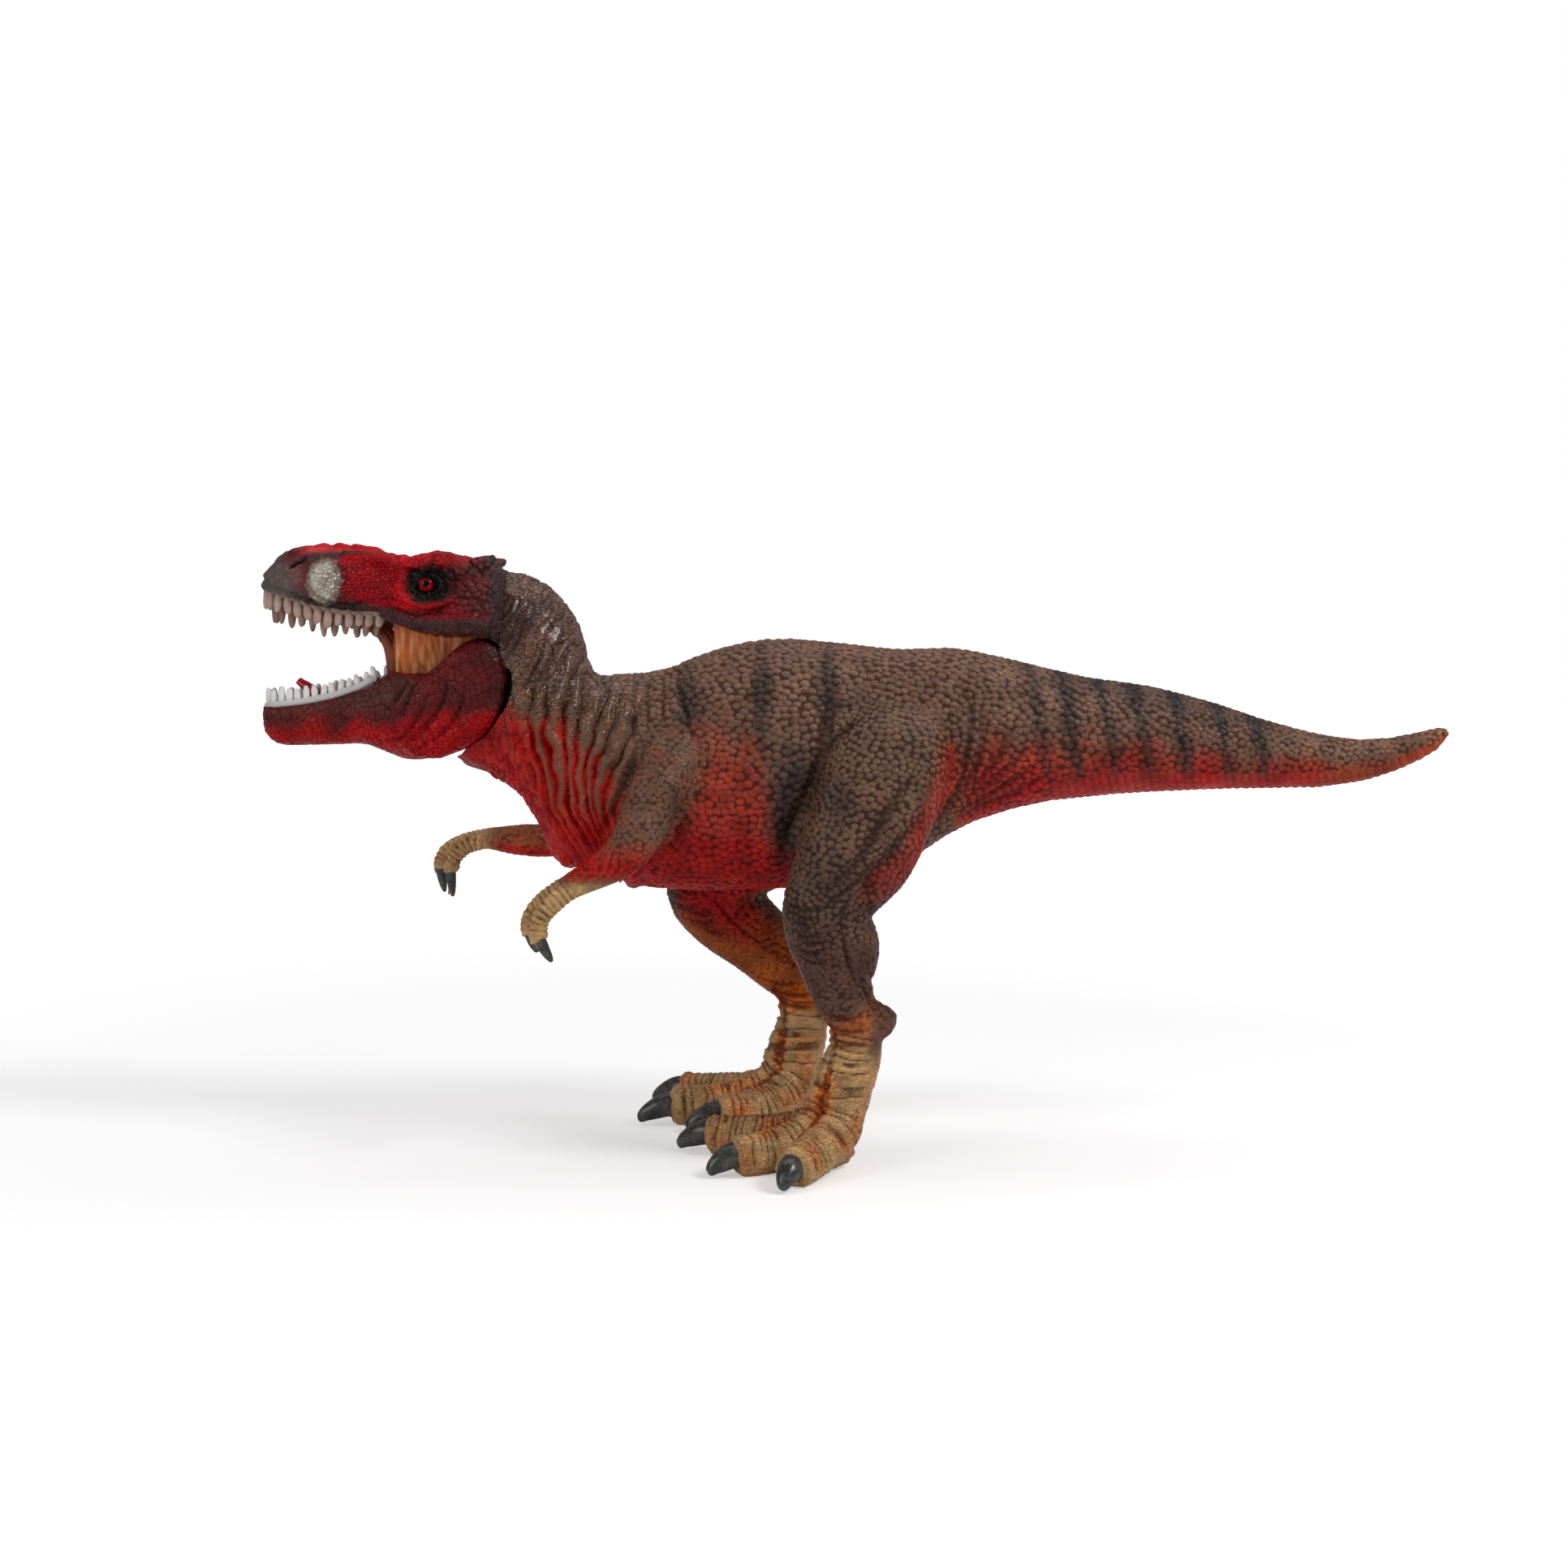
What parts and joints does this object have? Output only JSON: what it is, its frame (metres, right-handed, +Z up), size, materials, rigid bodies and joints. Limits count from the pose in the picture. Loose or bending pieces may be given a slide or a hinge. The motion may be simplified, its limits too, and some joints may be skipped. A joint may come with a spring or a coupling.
{
  "type": "toy dinosaur figure",
  "caption": "Two-legged toy dinosaur figure striding on splayed feet, with a level tail, small arms and a toothed lower jaw that opens and shuts on a hinge pin.",
  "frame": {"origin": "centre of the bounding box's base, on the floor that the figure stands on", "axes": "-X the way the figure faces, +X along the tail, -Y the figure's left side, +Z up"},
  "size_m": [0.2739, 0.0937, 0.139],
  "materials": {
    "skin": "painted vinyl, satin",
    "limb_skin": "painted vinyl, satin",
    "head_skin": "painted vinyl, satin",
    "jaw_skin": "painted vinyl, satin",
    "lining": "painted vinyl, satin",
    "tongue": "painted vinyl, glossy",
    "upper_teeth": "painted vinyl, satin",
    "lower_teeth": "painted vinyl, satin",
    "pin": "drawn wire"
  },
  "bodies": {
    "figure": {"torso": "skin", "head": "head_skin", "mouth_lining": "lining", "upper_teeth": "upper_teeth", "jaw_pin": "pin", "leg_left": "limb_skin", "leg_right": "limb_skin", "arm_left": "limb_skin", "arm_right": "limb_skin", "tail": "skin"},
    "jaw": {"lower_jaw": "jaw_skin", "lower_teeth": "lower_teeth", "tongue": "tongue"}
  },
  "joints": [
    {"name": "jaw_hinge", "type": "hinge", "parent": "figure", "child": "jaw", "pos_m": [-0.09107, 0.00528, 0.1062], "axis": [0, 1, 0], "range_deg": [0, 25]}
  ]
}
